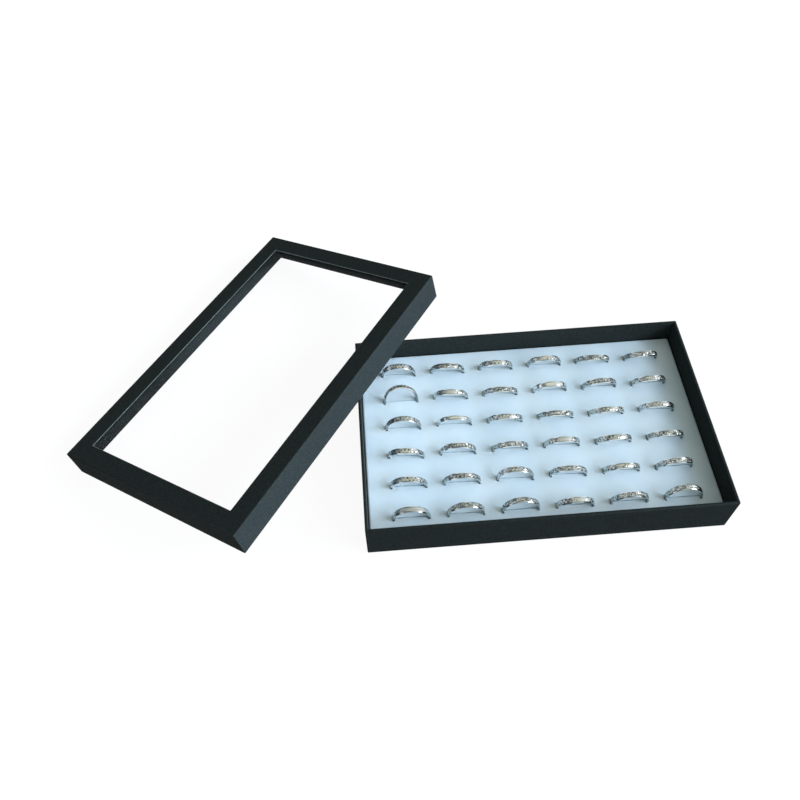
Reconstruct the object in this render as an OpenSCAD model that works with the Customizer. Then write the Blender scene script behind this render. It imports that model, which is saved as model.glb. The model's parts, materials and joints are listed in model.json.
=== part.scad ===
// Ring display box: a paper-covered tray holding a slit pad with thirty-six rings,
// and its window lid, taken off and leaning with one long edge on the tray's corner.
// Millimetres, +Z up. The origin is the middle of the tray's underside. +X runs along
// the tray's length and -Y is its front.

/* [Tray] */
// Outside length of the tray
tray_l = 200; // [196:1:240]
// Outside width of the tray
tray_w = 127; // [124:1:160]
// Outside height of the tray
tray_h = 27.2; // [25:0.2:36]
// How far the covering paper turns down inside the tray
tray_turn_in = 20; // [15:0.5:22]
// How far the covering paper turns in under the bottom
turn_under = 15; // [8:1:25]
// Bare margin round the sheet glued under the bottom
sheet_margin = 3; // [2:0.5:6]

/* [Board and paper] */
// Thickness of the greyboard that both box halves are folded from
board_t = 1.2; // [0.8:0.1:1.6]
// Thickness of the embossed covering paper and of the plain linings
paper_t = 0.2; // [0.12:0.02:0.26]
// Thickness of the gummed tape round each corner of the board
stay_t = 0.15; // [0.1:0.05:0.2]
// Length of each leg of a corner tape
stay_leg = 12; // [8:1:16]
// Gap round a lining laid loose inside a wall
lining_gap = 0.3; // [0.2:0.05:0.5]

/* [Lid] */
// Height of the lid
lid_h = 17.7; // [16:0.1:24]
// Gap on each side between the closed lid and the tray
lid_gap = 0.15; // [0.1:0.05:0.4]
// Width of the flat frame round the window
frame_w = 11.6; // [10.5:0.1:16]
// How far the covering paper turns up inside the lid's wall
lid_turn_in = 14; // [8:0.5:15]
// How far the covering paper turns back under the window's edge
window_turn = 8; // [4:0.5:8.5]
// Thickness of the clear window film
film_t = 0.3; // [0.2:0.05:0.4]
// How far the film reaches past the window's edge
film_lap = 7.5; // [6:0.5:8]
// Thickness of the double-sided tape that holds the film
tape_t = 0.1; // [0.1:0.05:0.2]
// Width of that tape
tape_w = 5; // [3:0.5:6]
// How far the lining frame stands back from the window's edge
lining_back = 1; // [0.5:0.25:2]

/* [Leaning lid] */
// Turn of the lid's long axis from the tray's
lid_heading = 55.2; // [50:0.1:60]
// How far the tray's back left corner reaches in under the lid
prop_reach = 23.9; // [20:0.1:30]
// How far the lid's middle lies forward of that corner, along the lid
prop_shift = 43.8; // [38:0.1:50]
// Gap between the lid's inner edge and the tray's rim under it
prop_gap = 0.1; // [0.05:0.05:0.3]
// Gap between the lid's low edge and the table
foot_gap = 0.2; // [0.1:0.05:0.3]

/* [Pad] */
// Depth of the pad's face below the tray's rim
pad_drop = 14.4; // [13:0.1:15]
// Thickness of the card under the foam
card_t = 0.8; // [0.5:0.1:1.2]
// Thickness of the flocked cover over the foam
cover_t = 0.5; // [0.3:0.1:0.8]
// Gap between the pad and the tray's wall
pad_gap = 0.25; // [0.2:0.05:0.6]

/* [Rings] */
// Outside diameter of a ring
ring_d = 21; // [18:0.25:22]
// Thickness of a ring's metal
ring_t = 1.4; // [1.2:0.1:2.4]
// Width of a common ring
ring_w = 3.4; // [2.4:0.1:4]
// Width of the slim ring
slim_w = 2.6; // [2:0.1:3]
// Radius of the dome across a ring's band
dome_r = 5; // [3:0.5:8]
// Gap between a ring and the sides of its slit
slit_gap = 0.3; // [0.2:0.05:0.4]
// Gap between the lowest point of an upright ring and the card
seat_gap = 0.5; // [0.5:0.05:0.8]
// Distance between rings along a row
pitch_x = 30.2; // [26:0.1:31]
// Distance between rows
pitch_y = 19.5; // [17:0.1:20]
// How far the ring field lies right of the tray's middle
field_x = 1; // [-2:0.5:2]
// How far the ring field lies behind the tray's middle
field_y = -1.2; // [-4:0.1:2]

/* [Hidden] */
rows = 6;
cols = 6;
// How far a cutting block runs past the face that it opens
past = 1;
// Each ring's backward lean in degrees, row by row from the back
lean = [
    [-9, -20, -21, -17, -28, -27],
    [18, -20, -24, -18, -18, -22],
    [-4, -14, -23, -24, -24, -19],
    [-16, -10, -19, -16, -22, -21],
    [-9, -10, -2, -12, -18, -13],
    [-3, -2, 1, -13, -9, 2]
];
// Each ring's turn to the left in degrees, seen from above
turn = [
    [-2, -4, -3, -1, -2, 1],
    [0, -4, -2, 0, 1, 1],
    [-2, -2, -2, -2, 0, -3],
    [-4, -2, 0, -1, 0, -1],
    [-2, -2, -3, -3, 0, 1],
    [-1, -1, 0, -1, -1, -1]
];
// Row and column of the slim ring
slim_at = [3, 2];

// Wall of either box half: board with its corner tape, and paper on both sides
wall_t = board_t + stay_t + 2 * paper_t;

// Levels of the tray's layers, from the table up
board_z = 2 * paper_t;
floor_z = board_z + board_t;
liner_z = floor_z + paper_t;
card_z = liner_z + card_t;
pad_z = tray_h - pad_drop;
foam_z = pad_z - cover_t;
rim_z = tray_h - paper_t;

// Outside sizes of the tray's board, and the hollow inside its walls
tray_board_l = tray_l - 2 * (paper_t + stay_t);
tray_board_w = tray_w - 2 * (paper_t + stay_t);
inside_l = tray_l - 2 * wall_t;
inside_w = tray_w - 2 * wall_t;

// Outside sizes of the pad, and of the foam and card in its cover
pad_l = inside_l - 2 * pad_gap;
pad_w = inside_w - 2 * pad_gap;
foam_l = pad_l - 2 * cover_t;
foam_w = pad_w - 2 * cover_t;

// Outside sizes of the lid and of its board, and its window
lid_l = tray_l + 2 * (lid_gap + wall_t);
lid_w = tray_w + 2 * (lid_gap + wall_t);
lid_board_l = lid_l - 2 * (paper_t + stay_t);
lid_board_w = lid_w - 2 * (paper_t + stay_t);
window_l = lid_l - 2 * frame_w;
window_w = lid_w - 2 * frame_w;

// Levels of the lid's layers, from its open edge up
lid_board_z = lid_h - paper_t;
panel_z = lid_board_z - board_t;
window_turn_z = panel_z - paper_t;
tape_z = window_turn_z - tape_t;
film_z = tape_z - film_t;
lining_z = film_z - paper_t;

// The lid's low edge is on the table and the inner edge opposite is on the tray's rim
lid_tilt = asin((tray_h + prop_gap - foot_gap) / (lid_w - wall_t));
along = [cos(lid_heading), sin(lid_heading), 0];
across = [-sin(lid_heading), cos(lid_heading), 0];
prop_point = [-tray_l / 2, tray_w / 2, 0] - prop_reach * across - prop_shift * along;
lid_centre = prop_point + (lid_w / 2 - wall_t) * cos(lid_tilt) * across
    + [0, 0, foot_gap + lid_w / 2 * sin(lid_tilt)];

ring_r = ring_d / 2;
ring_z = card_z + seat_gap + ring_r;

function ring_node(r, c) = str("ring_r", r, "_c", c);
function ring_x(c) = field_x + (c - (cols + 1) / 2) * pitch_x;
function ring_y(r) = field_y + ((rows + 1) / 2 - r) * pitch_y;
function band_w(r, c) = [r, c] == slim_at ? slim_w : ring_w;

// A block centred on the Z axis, from one level to another
module block(l, w, z0, z1) {
    translate([-l / 2, -w / 2, z0]) cube([l, w, z1 - z0]);
}

// A four-sided wall or flat frame, l by w outside and t across, between two levels
module frame(l, w, t, z0, z1) {
    difference() {
        block(l, w, z0, z1);
        block(l - 2 * t, w - 2 * t, z0 - past, z1 + past);
    }
}

// Tape folded round each of four upright corners of a board, between two levels
module corner_tapes(l, w, z0, z1) {
    for (sx = [-1, 1], sy = [-1, 1])
        intersection() {
            frame(l + 2 * stay_t, w + 2 * stay_t, stay_t, z0, z1);
            translate([sx * l / 2, sy * w / 2, 0])
                block(2 * stay_leg, 2 * stay_leg, z0, z1);
        }
}

// The tray's blank: a base with its four walls folded up
module tray_board() {
    color("#8d8a84") difference() {
        block(tray_board_l, tray_board_w, board_z, rim_z);
        block(tray_board_l - 2 * board_t, tray_board_w - 2 * board_t, floor_z, rim_z + past);
    }
}

module tray_corner_tapes() {
    color("#b0865a") corner_tapes(tray_board_l, tray_board_w, board_z, rim_z);
}

// The tray's covering: up the outside, over the rim, down inside and in under the base
module tray_wrap() {
    color("#1b2123") {
        frame(tray_l, tray_w, paper_t, paper_t, tray_h);
        frame(tray_l, tray_w, wall_t, rim_z, tray_h);
        frame(inside_l + 2 * paper_t, inside_w + 2 * paper_t, paper_t, tray_h - tray_turn_in, tray_h);
        frame(tray_l, tray_w, turn_under, paper_t, board_z);
    }
}

module tray_floor_lining() {
    lining_l = tray_board_l - 2 * (board_t + lining_gap);
    lining_w = tray_board_w - 2 * (board_t + lining_gap);
    color("#23282b") block(lining_l, lining_w, floor_z, liner_z);
}

module tray_bottom_sheet() {
    color("#16191b") block(tray_l - 2 * sheet_margin, tray_w - 2 * sheet_margin, 0, paper_t);
}

module pad_backing_card() {
    color("#c9c5bb") block(foam_l, foam_w, liner_z, card_z);
}

// Carries a ring, or its slit, from the origin to its place in the pad
module at_ring(r, c) {
    translate([ring_x(c), ring_y(r), ring_z])
        rotate([0, 0, turn[r - 1][c - 1]])
            rotate([-lean[r - 1][c - 1], 0, 0])
                children();
}

// The slit that a ring stands in, open above it along its own lean
module slit(r, c) {
    slit_r = ring_r + slit_gap;
    at_ring(r, c)
        rotate([90, 0, 0])
            linear_extrude(height = band_w(r, c) + 2 * slit_gap, center = true) {
                circle(r = slit_r, $fn = 96);
                translate([-slit_r, 0]) square([2 * slit_r, ring_d]);
            }
}

module slits() {
    for (r = [1:rows], c = [1:cols]) slit(r, c);
}

module pad_foam() {
    color("#e6e2d8") difference() {
        block(foam_l, foam_w, card_z, foam_z);
        slits();
    }
}

// The flocked cover: over the foam's face and down its sides to the tray's floor
module pad_cover() {
    color("#c7e2f0") difference() {
        block(pad_l, pad_w, liner_z, pad_z);
        block(foam_l, foam_w, liner_z - past, foam_z);
        slits();
    }
}

// Carries the lid from its own place, open edge down, to where it leans
module leaning() {
    translate(lid_centre) rotate([0, 0, lid_heading]) rotate([-lid_tilt, 0, 0]) children();
}

// The lid's blank: a flat frame round the window with its four walls folded down
module lid_board() {
    color("#8d8a84") leaning() {
        frame(lid_board_l, lid_board_w, board_t, paper_t, lid_board_z);
        difference() {
            block(lid_board_l, lid_board_w, panel_z, lid_board_z);
            block(window_l + 2 * paper_t, window_w + 2 * paper_t, panel_z - past, lid_h);
        }
    }
}

module lid_corner_tapes() {
    color("#b0865a") leaning() corner_tapes(lid_board_l, lid_board_w, paper_t, lid_board_z);
}

// The lid's covering: over the top and walls, up inside them, and back through the window
module lid_wrap() {
    color("#1e2a2a") leaning() {
        frame(lid_l, lid_w, paper_t, 0, lid_h);
        frame(lid_l, lid_w, wall_t, 0, paper_t);
        frame(lid_l - 2 * (wall_t - paper_t), lid_w - 2 * (wall_t - paper_t), paper_t, 0, lid_turn_in);
        frame(lid_l, lid_w, frame_w, lid_board_z, lid_h);
        frame(window_l + 2 * paper_t, window_w + 2 * paper_t, paper_t, window_turn_z, lid_h);
        frame(window_l + 2 * window_turn, window_w + 2 * window_turn, window_turn, window_turn_z, panel_z);
    }
}

// Four strips of tape between the turned-back paper and the film
module window_tape() {
    strip_back = (window_turn - tape_w) / 2;
    strip_l = window_l + 2 * strip_back;
    strip_w = window_w + 2 * strip_back;
    color("#c9d0cc") leaning() for (side = [-1, 1]) {
        translate([0, side * (strip_w + tape_w) / 2, 0]) block(strip_l, tape_w, tape_z, window_turn_z);
        translate([side * (strip_l + tape_w) / 2, 0, 0]) block(tape_w, strip_w, tape_z, window_turn_z);
    }
}

module window_film() {
    color("#dfeef2", 0.35) leaning()
        block(window_l + 2 * film_lap, window_w + 2 * film_lap, film_z, tape_z);
}

// The paper frame glued over the film's edges, out to the lid's walls
module lid_lining() {
    lining_l = lid_l - 2 * (wall_t + lining_gap);
    lining_w = lid_w - 2 * (wall_t + lining_gap);
    color("#23282b") leaning() difference() {
        block(lining_l, lining_w, lining_z, film_z);
        block(window_l + 2 * lining_back, window_w + 2 * lining_back, lining_z - past, lid_h);
    }
}

// One finger ring standing on edge, its band domed outside and flat inside
module ring(r, c) {
    band = band_w(r, c);
    color("#cfc8b8") at_ring(r, c)
        rotate([90, 0, 0])
            rotate_extrude($fn = 96)
                intersection() {
                    translate([ring_r - ring_t, -band / 2]) square([ring_t, band]);
                    translate([ring_r - dome_r, 0]) circle(r = dome_r, $fn = 64);
                }
}

tray_board();
tray_corner_tapes();
tray_wrap();
tray_floor_lining();
tray_bottom_sheet();
pad_backing_card();
pad_foam();
pad_cover();
lid_board();
lid_corner_tapes();
lid_wrap();
window_tape();
window_film();
lid_lining();
for (r = [1:rows], c = [1:cols])
    ring(r, c);
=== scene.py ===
"""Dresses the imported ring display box.

The covering papers, the flocked pad and the finger rings are modelled here, at the places
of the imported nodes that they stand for, and every other node gets its finish. Sizes are in
millimetres and angles in degrees, unless a name says otherwise. Meshes are in metres.
"""

from __future__ import annotations

import json
import logging
import math
import random
from dataclasses import dataclass, field
from enum import Enum

import bmesh
import bpy
import numpy as np
from bmesh.types import BMesh, BMFace, BMVert
from bpy.types import Material, Node, NodeSocket, NodeTree, Object
from mathutils import Matrix, Vector


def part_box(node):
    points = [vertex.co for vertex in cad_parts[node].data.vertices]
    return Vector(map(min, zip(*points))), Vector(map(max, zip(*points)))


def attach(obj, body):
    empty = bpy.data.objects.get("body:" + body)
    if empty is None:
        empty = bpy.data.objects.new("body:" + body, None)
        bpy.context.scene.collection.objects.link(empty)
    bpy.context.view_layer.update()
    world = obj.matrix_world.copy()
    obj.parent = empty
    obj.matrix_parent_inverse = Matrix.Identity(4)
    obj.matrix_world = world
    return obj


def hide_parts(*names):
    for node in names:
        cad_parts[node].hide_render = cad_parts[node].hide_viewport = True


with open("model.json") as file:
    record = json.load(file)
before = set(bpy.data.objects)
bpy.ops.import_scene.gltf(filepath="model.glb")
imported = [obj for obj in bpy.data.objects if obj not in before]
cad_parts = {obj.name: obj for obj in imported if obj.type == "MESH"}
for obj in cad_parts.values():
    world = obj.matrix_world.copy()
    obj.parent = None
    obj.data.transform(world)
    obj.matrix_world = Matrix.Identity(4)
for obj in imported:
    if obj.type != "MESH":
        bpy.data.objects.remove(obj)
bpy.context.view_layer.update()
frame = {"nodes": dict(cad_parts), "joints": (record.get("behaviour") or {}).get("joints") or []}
MM = 0.001
LOG = logging.getLogger("ring_display_box")

# The paper and board that both halves of the box are made of
BOARD = 1.2
PAPER = 0.2
CORNER_TAPE = 0.15
WALL = BOARD + CORNER_TAPE + 2 * PAPER

ROWS = 6
COLUMNS = 6

Triple = tuple[float, float, float]
Inputs = dict[str | int, object]

# The sockets of a Mix node for colours, which share their names with others of the node
FACTOR, FIRST, SECOND, MIXED = 0, 6, 7, 2
# The options that blend colours and that soften both ends of a range
COLOURS = {"data_type": "RGBA"}
SMOOTH = {"interpolation_type": "SMOOTHSTEP"}
# How strong each finer layer of a noise is
SOFT: Inputs = {"Roughness": 0.55}


# ---- helpers


def linear(colour: str) -> tuple[float, float, float, float]:
    """Turns an sRGB colour into linear numbers, by the curve that defines sRGB.

    Args:
        colour: the colour as hex, such as "#c5e0f0".

    Returns:
        Red, green, blue and full opacity.
    """
    parts = [int(colour[i : i + 2], 16) / 255 for i in (1, 3, 5)]
    red, green, blue = (
        p / 12.92 if p <= 0.04045 else ((p + 0.055) / 1.055) ** 2.4 for p in parts
    )
    return red, green, blue, 1.0


def feed(node: Node, inputs: Inputs) -> None:
    """Sets or links inputs of a node.

    Args:
        node: the node.
        inputs: for each input, by its name or number, its value or the output that feeds it.
    """
    for name, value in inputs.items():
        if isinstance(value, NodeSocket):
            node.id_data.links.new(value, node.inputs[name])
        else:
            node.inputs[name].default_value = value


def add_node(tree: NodeTree, kind: str, inputs: Inputs | None = None, **options: object) -> Node:
    """Adds a shader node with its settings and links.

    Args:
        tree: the material's or world's node tree.
        kind: the node's type without its first words, such as "TexNoise".
        inputs: for each input, by its name or number, its value or the output that feeds it.
        options: the node's own properties.

    Returns:
        The new node.
    """
    made = tree.nodes.new("ShaderNode" + kind)
    for name, value in options.items():
        setattr(made, name, value)
    feed(made, inputs or {})
    return made


def smooth_step(low: float, high: float, value: np.ndarray | float) -> np.ndarray:
    """Goes smoothly from 0 at low to 1 at high."""
    t = np.clip((value - low) / (high - low), 0, 1)
    return t * t * (3 - 2 * t)


def node_points(node: str) -> np.ndarray:
    """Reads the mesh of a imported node.

    Args:
        node: the node's name.

    Returns:
        Its corners, in millimetres, one row each.
    """
    mesh = frame["nodes"][node].data
    flat = np.zeros(len(mesh.vertices) * 3)
    mesh.vertices.foreach_get("co", flat)
    return flat.reshape(-1, 3) / MM


def main_axes(points: np.ndarray) -> list[Vector]:
    """The directions in which points spread, from the most to the least."""
    _, axes = np.linalg.eigh(np.cov(points.T))
    return [Vector(axes[:, i]) for i in (2, 1, 0)]


def face_towards(bm: BMesh, direction: Triple) -> BMFace:
    """The face whose outer side looks most nearly along a direction."""
    bm.normal_update()
    return max(bm.faces, key=lambda f: f.normal.dot(Vector(direction)))


def cut_along(bm: BMesh, point: Triple, normal: Triple, clear: bool = False) -> None:
    """Cuts a shape along a plane, and may clear what lies beyond it."""
    geom = [*bm.verts, *bm.edges, *bm.faces]
    bmesh.ops.bisect_plane(bm, geom=geom, plane_co=point, plane_no=normal, clear_outer=clear)


@dataclass
class Place:
    """Where a sub-assembly is: its own axes and origin in the box's frame.

    Attributes:
        origin: the origin, in millimetres.
        along: the direction of its own X.
        across: the direction of its own Y.
        up: the direction of its own Z.
    """

    origin: Vector
    along: Vector
    across: Vector
    up: Vector

    def matrix(self) -> Matrix:
        """Carries a point in the place's own millimetres to the frame's metres."""
        turned = Matrix((self.along, self.across, self.up)).transposed().to_4x4()
        return Matrix.Translation(self.origin * MM) @ turned @ Matrix.Scale(MM, 4)


UPRIGHT = Place(Vector(), Vector((1, 0, 0)), Vector((0, 1, 0)), Vector((0, 0, 1)))


def finished_piece(
    name: str, bm: BMesh, place: Place, material: Material, crease: float
) -> Object:
    """Makes a shape into an object whose place is in its mesh.

    Args:
        name: the piece's name.
        bm: the shape, in the place's own millimetres. It is used up.
        place: where the shape goes.
        material: its material.
        crease: the bend at which an edge looks sharp and not smooth.

    Returns:
        The new object, linked to the scene.
    """
    for f in bm.faces:
        f.smooth = True
    bm.transform(place.matrix())
    mesh = bpy.data.meshes.new(name)
    bm.to_mesh(mesh)
    bm.free()
    mesh.materials.append(material)
    piece = bpy.data.objects.new(name, mesh)
    bpy.context.scene.collection.objects.link(piece)
    mesh.set_sharp_from_angle(angle=math.radians(crease))
    LOG.info("%s: %d faces", name, len(mesh.polygons))
    return piece


# ---- finishes


@dataclass(frozen=True)
class Finish:
    """A surface as one material.

    Attributes:
        name: the material's name.
        colour: its base colour, as sRGB hex.
        roughness: how far it scatters a reflection, from 0 to 1.
    """

    name: str
    colour: str
    roughness: float

    def material(self) -> Material:
        """Makes the material, or finds it where it is made already.

        Returns:
            The material, with the finish's own detail in it.
        """
        made = bpy.data.materials.get(self.name)
        if made is None:
            made = bpy.data.materials.new(self.name)
            made.use_nodes = True
            tree = made.node_tree
            shader = tree.nodes["Principled BSDF"]
            feed(shader, {"Base Color": linear(self.colour), "Roughness": self.roughness})
            where = add_node(tree, "TexCoord").outputs["Object"]
            feed(shader, self.detail(tree, where))
        return made

    def detail(self, tree: NodeTree, where: NodeSocket) -> Inputs:
        """Adds the nodes that set this finish apart. A plain one has none.

        Args:
            tree: the node tree.
            where: the coordinates of the patterns.

        Returns:
            The shader's inputs.
        """
        return {}

    def shade(self, tree: NodeTree, amount: NodeSocket, other: str) -> NodeSocket:
        """Goes from another colour to the finish's own as amount goes from 0.3 to 0.7.

        Args:
            tree: the material's node tree.
            amount: the pattern that mixes the colours.
            other: the other colour, as sRGB hex.

        Returns:
            The mixed colour.
        """
        reach: Inputs = {"Value": amount, "From Min": 0.3, "From Max": 0.7}
        spread = add_node(tree, "MapRange", reach, **SMOOTH).outputs["Result"]
        colours: Inputs = {FACTOR: spread, FIRST: linear(other), SECOND: linear(self.colour)}
        return add_node(tree, "Mix", colours, **COLOURS).outputs[MIXED]


@dataclass(frozen=True)
class EmbossedPaper(Finish):
    """Black book-covering paper, pressed with a leather grain and thinly lacquered.

    The grain's crests catch the light as fine specks, and its creases are painted darker, as
    painted shade.

    Attributes:
        grain: the width of one pebble of the grain.
        grain_depth: how deep the creases are.
        wave: the width of a slow wave of the board under the paper.
        wave_depth: how deep such a wave is.
        crease_shade_colour: the colour down in the creases, a painted shade.
        highlight_and_wear_colour: the colour of paper that is worn through its lacquer, also
            painted on as a painted highlight over folds and as painted light on inner walls.
        gloss: the specular level of the lacquer.
    """

    grain: float = 1.1
    grain_depth: float = 0.045
    wave: float = 40.0
    wave_depth: float = 0.5
    # Painted shade: the colour of the grain's creases
    crease_shade_colour: str = "#151919"
    # Wear and painted highlight: the lighter colour of folds and marked faces
    highlight_and_wear_colour: str = "#8a9a98"
    gloss: float = 0.01

    def detail(self, tree: NodeTree, where: NodeSocket) -> Inputs:
        """Adds pebbles, fine pores, slow waves, and the wear and painted light that the piece
        marks.

        Args:
            tree: the node tree.
            where: the coordinates of the patterns.

        Returns:
            The shader's inputs.
        """
        grain = self.grain * MM
        wander = add_node(tree, "TexNoise", {"Vector": where, "Scale": 0.5 / grain, "Detail": 2.0})
        bend: Inputs = {0: wander.outputs["Color"], 1: (grain,) * 3, 2: where}
        bent = add_node(tree, "VectorMath", bend, operation="MULTIPLY_ADD").outputs["Vector"]
        net: Inputs = {"Vector": bent, "Scale": 1 / grain}
        pebbles = add_node(tree, "TexVoronoi", net, feature="DISTANCE_TO_EDGE")
        height: Inputs = {"Value": pebbles.outputs["Distance"], "From Max": 0.28}
        crown = add_node(tree, "MapRange", height, **SMOOTH).outputs["Result"]
        blotches, pores, waves = (
            add_node(
                tree,
                "TexNoise",
                {"Vector": where, "Scale": 1 / (size * MM), "Detail": layers, **SOFT},
            ).outputs["Fac"]
            for size, layers in ((self.grain, 3.0), (self.grain / 4, 3.0), (self.wave, 1.0))
        )
        # The piece's marks: wear, a painted highlight on folds, painted light and shade on inner
        # walls
        painted_light_and_wear = add_node(tree, "Attribute", attribute_name="painted_light_and_wear").outputs["Fac"]
        uneven = add_node(tree, "Math", {0: painted_light_and_wear, 1: blotches}, operation="MULTIPLY").outputs[0]
        # The grain's creases take a painted shade
        colours: Inputs = {
            FACTOR: uneven,
            FIRST: self.shade(tree, crown, self.crease_shade_colour),
            SECOND: linear(self.highlight_and_wear_colour),
        }
        least, most = self.roughness - 0.08, self.roughness + 0.1
        rough = add_node(tree, "MapRange", {"Value": pores, "To Min": least, "To Max": most})
        relief: Inputs = {}
        grained = ((crown, self.grain_depth), (pores, self.grain_depth / 3))
        for layer, depth in ((waves, self.wave_depth), *grained):
            bump = add_node(tree, "Bump", {**relief, "Height": layer, "Distance": depth * MM})
            relief = {"Normal": bump.outputs["Normal"]}
        return {
            "Specular IOR Level": self.gloss,
            "Base Color": add_node(tree, "Mix", colours, **COLOURS).outputs[MIXED],
            "Roughness": rough.outputs["Result"],
            **relief,
        }


@dataclass(frozen=True)
class PaperStock(Finish):
    """Plain paper or board, with the cloudy look and short fibres of its pulp.

    Attributes:
        fleck_colour: the colour of the darker pulp.
        fibre: the length of a fibre.
        relief: how deep the fibres lie.
    """

    fleck_colour: str = "#101314"
    fibre: float = 1.5
    relief: float = 0.03

    def detail(self, tree: NodeTree, where: NodeSocket) -> Inputs:
        """Adds the pulp's clouds to the colour and its fibres to the relief.

        Args:
            tree: the node tree.
            where: the coordinates of the patterns.

        Returns:
            The shader's inputs.
        """
        drawn_out = add_node(tree, "Mapping", {"Vector": where, "Scale": (1.0, 4.0, 4.0)})
        noise: Inputs = {"Scale": 1 / (self.fibre * MM), "Detail": 4.0, **SOFT}
        noise["Vector"] = drawn_out.outputs["Vector"]
        fibres = add_node(tree, "TexNoise", noise).outputs["Fac"]
        bump = add_node(tree, "Bump", {"Height": fibres, "Distance": self.relief * MM})
        colour = self.shade(tree, fibres, self.fleck_colour)
        return {"Base Color": colour, "Normal": bump.outputs["Normal"]}


@dataclass(frozen=True)
class FlockedVelvet(Finish):
    """Short nylon pile flocked on a thin backing.

    It scatters light evenly, lightens a little at a low angle, and shows faint clouds
    where the pile was stroked another way.

    Attributes:
        stroked_colour: the colour where the pile lies the other way.
        stroke: the width of a cloud of stroked pile.
        pile: the spacing of the tufts. They are drawn coarser than the real pile, to show.
        pile_depth: how deep it is between the tufts.
    """

    stroked_colour: str = "#c5dbe8"
    stroke: float = 22.0
    pile: float = 0.45
    pile_depth: float = 0.12

    def detail(self, tree: NodeTree, where: NodeSocket) -> Inputs:
        """Adds the pile's sheen, its clouds and its fine relief.

        Args:
            tree: the node tree.
            where: the coordinates of the patterns.

        Returns:
            The shader's inputs.
        """
        clouds, tufts = (
            add_node(
                tree,
                "TexNoise",
                {"Vector": where, "Scale": 1 / (size * MM), "Detail": 2.0, **SOFT},
            ).outputs["Fac"]
            for size in (self.stroke, self.pile)
        )
        bump = add_node(
            tree, "Bump", {"Height": tufts, "Distance": self.pile_depth * MM, "Strength": 0.7}
        )
        return {
            "Specular IOR Level": 0.15,
            "Sheen Weight": 0.12,
            "Sheen Roughness": 0.45,
            "Base Color": self.shade(tree, clouds, self.stroked_colour),
            "Normal": bump.outputs["Normal"],
        }


@dataclass(frozen=True)
class ClearFilm(Finish):
    """Thin clear plastic, seen only by a faint veil and a sharp reflection.

    Attributes:
        veil: how much of what lies behind it hides.
        ripple: the width of one ripple of the stretched film.
        ripple_depth: how deep a ripple is.
    """

    veil: float = 0.06
    ripple: float = 30.0
    ripple_depth: float = 0.3

    def detail(self, tree: NodeTree, where: NodeSocket) -> Inputs:
        """Adds the clearness and the slow ripple.

        Args:
            tree: the node tree.
            where: the coordinates of the patterns.

        Returns:
            The shader's inputs.
        """
        noise: Inputs = {"Vector": where, "Scale": 1 / (self.ripple * MM), "Detail": 1.0, **SOFT}
        ripples = add_node(tree, "TexNoise", noise).outputs["Fac"]
        bump = add_node(tree, "Bump", {"Height": ripples, "Distance": self.ripple_depth * MM})
        normal = bump.outputs["Normal"]
        return {"Specular IOR Level": 0.3, "Alpha": self.veil, "Normal": normal}


@dataclass(frozen=True)
class CutSteel(Finish):
    """Stainless steel, turned, polished and cut with a diamond tool.

    It mirrors what is round it. Each cut facet is painted a little brighter or darker than
    the next, as painted glints and shade, the ground of the pattern is finely satined and
    painted a little darker, and the grooves, pockets and flanks of the legs are painted dark,
    as painted shade.

    Attributes:
        painted_shade_colour: the colour of the darkest facet and of a groove, a painted shade.
        satin_roughness: the roughness of the satined ground.
        scratch: the spacing of the polishing marks. They are drawn coarser than real ones.
        scratch_depth: how deep those marks are.
    """

    # Painted shade: the darkest colour of the metal
    painted_shade_colour: str = "#636b6b"
    satin_roughness: float = 0.4
    scratch: float = 0.5
    scratch_depth: float = 0.02

    def detail(self, tree: NodeTree, where: NodeSocket) -> Inputs:
        """Mixes bright metal with its painted shade, and polished with satined metal, by the ring's
        own attributes.

        Args:
            tree: the node tree.
            where: the coordinates of the patterns.

        Returns:
            The shader's inputs.
        """
        # The ring's painted shade: painted glints and shade of facets, grooves, pockets and legs
        painted_shade, satin = (
            add_node(tree, "Attribute", attribute_name=name).outputs["Fac"]
            for name in ("painted_shade", "satin")
        )
        bright, dark = linear(self.colour), linear(self.painted_shade_colour)
        colours: Inputs = {FACTOR: painted_shade, FIRST: bright, SECOND: dark}
        reach: Inputs = {"To Min": self.roughness, "To Max": self.satin_roughness}
        rough = add_node(tree, "MapRange", {"Value": satin, **reach})
        noise: Inputs = {"Vector": where, "Scale": 1 / (self.scratch * MM), "Detail": 4.0, **SOFT}
        scratches = add_node(tree, "TexNoise", noise).outputs["Fac"]
        bump = add_node(tree, "Bump", {"Height": scratches, "Distance": self.scratch_depth * MM})
        return {
            "Metallic": 1.0,
            "Base Color": add_node(tree, "Mix", colours, **COLOURS).outputs[MIXED],
            "Roughness": rough.outputs["Result"],
            "Normal": bump.outputs["Normal"],
        }


# The lid's and tray's outside: near black, with a cool cast
LEATHERETTE = EmbossedPaper("embossed_leatherette_paper", "#1b2020", 0.7)
# The floor inside the tray, the sheet under it and the lid's inner frame: matt black
LINING = PaperStock("black_lining_paper", "#24292b", 0.8)
# The box's walls under the paper: grey, made of waste pulp
GREYBOARD = PaperStock("grey_millboard", "#9a9790", 0.9, "#7c7972", 2.5, 0.05)
# The strips round the board's corners: glued brown paper
GUMMED_TAPE = PaperStock("gummed_kraft_tape", "#b98e60", 0.7, "#a57b4f", 2.0, 0.03)
# The stiff sheet under the foam: pale, uncoated
BACKING_CARD = PaperStock("uncoated_pulp_card", "#cfcabd", 0.85, "#beb8a9", 2.0, 0.04)
# The pad's face: pale, cool and matt
VELVET = FlockedVelvet("flocked_velvet", "#cfe3ee", 0.95)
# The window: clear polyester
FILM = ClearFilm("clear_polyester_film", "#eef4f5", 0.06, 0.012)
# The strips that hold the film: clear, slightly milky
TAPE = ClearFilm("clear_adhesive_tape", "#d7dcd8", 0.35, 0.55)
# The rings: white metal
STEEL = CutSteel("diamond_cut_steel", "#e0e9ea", 0.14)


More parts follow.
